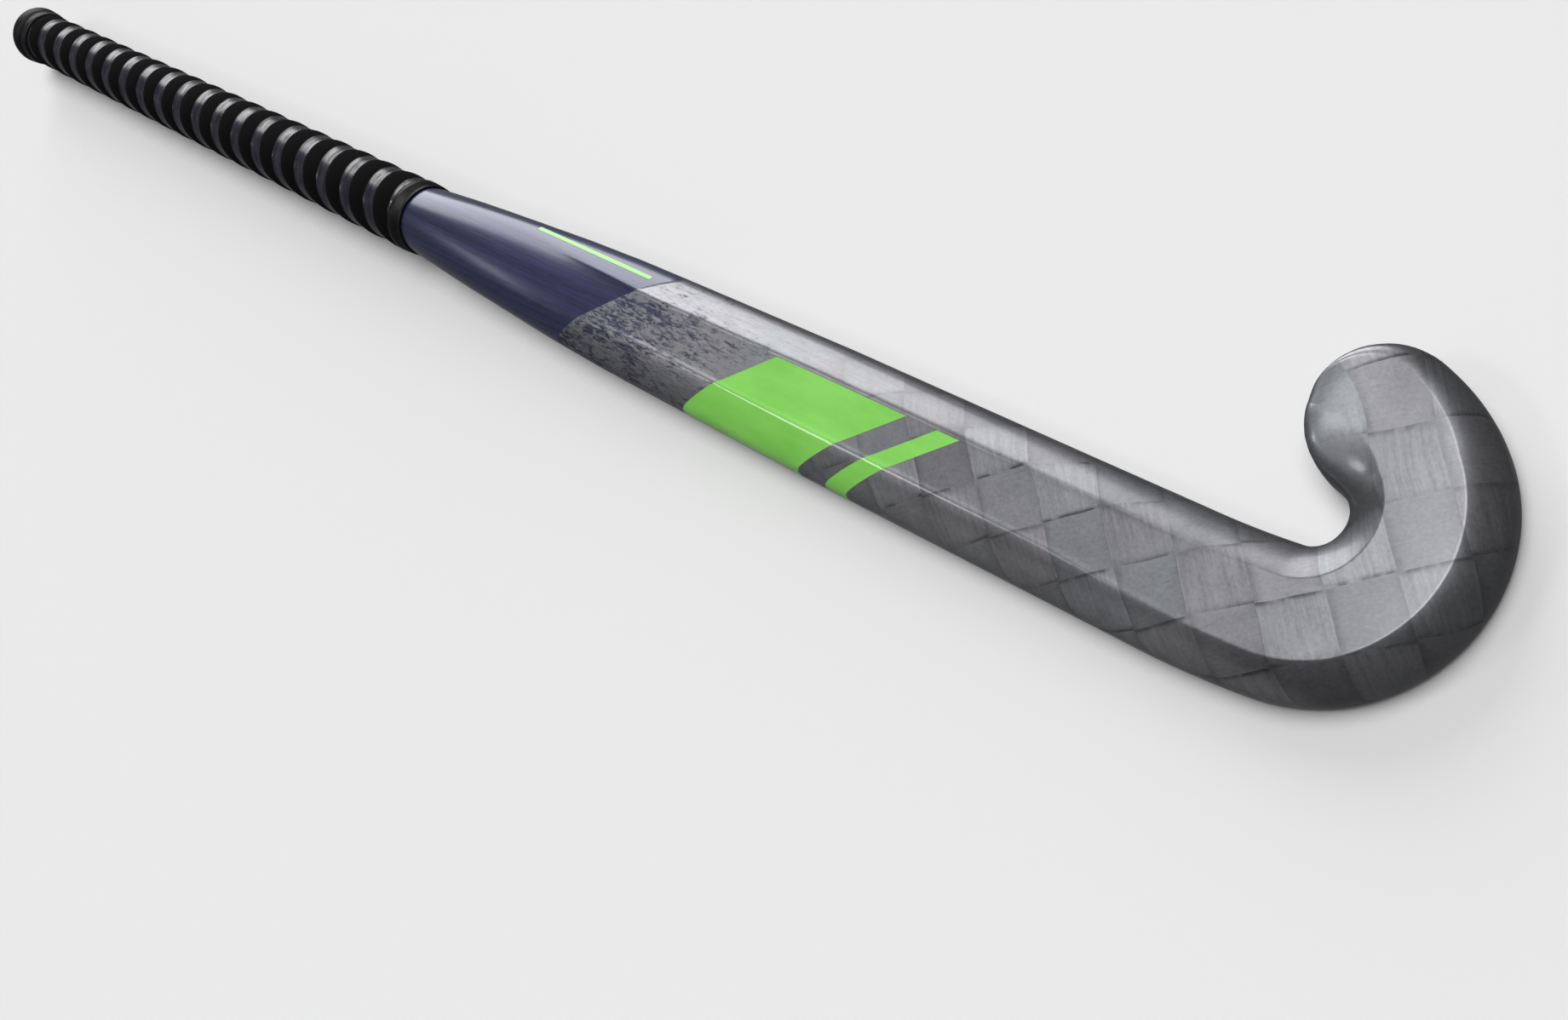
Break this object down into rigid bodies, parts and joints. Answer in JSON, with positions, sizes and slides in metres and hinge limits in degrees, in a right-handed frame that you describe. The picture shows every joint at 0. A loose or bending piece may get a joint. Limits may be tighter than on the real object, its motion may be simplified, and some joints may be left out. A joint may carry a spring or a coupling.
{
  "type": "field hockey stick",
  "caption": "Field hockey stick with a J-shaped head, a flat playing face, a bevelled back and a round handle wound in a ribbed grip.",
  "frame": {"origin": "middle of the object's box in X and Y, on the plane that the playing face rests on", "axes": "+X along the handle from the butt to the head, +Y to the side where the toe turns up, +Z out of the rounded back, away from the playing face"},
  "size_m": [0.8876, 0.1184, 0.0336],
  "materials": {
    "navy_paint": "gloss",
    "spread_tow": "gloss",
    "carbon": "satin",
    "aramid": "matte",
    "plug": "matte",
    "foam": "matte",
    "green_lacquer": "gloss",
    "tape": "matte",
    "grip": "satin",
    "cord": "matte",
    "finish_tape": "satin",
    "butt_rubber": "satin"
  },
  "bodies": {
    "root": {"painted_ply": "navy_paint", "spread_tow_ply": "spread_tow", "structural_laminate": "carbon", "damping_liner": "aramid", "butt_plug": "plug", "handle_core": "foam", "bridge_web": "carbon", "shaft_core_toe_side": "foam", "shaft_core_heel_side": "foam", "head_core": "foam", "accent_panel": "green_lacquer", "accent_band": "green_lacquer", "pinstripe": "green_lacquer", "grip_base_tape": "tape", "grip_wrap": "grip", "grip_ridge_cord": "cord", "grip_finish_tape": "finish_tape", "butt_band": "finish_tape", "butt_cap": "butt_rubber"}
  },
  "joints": []
}
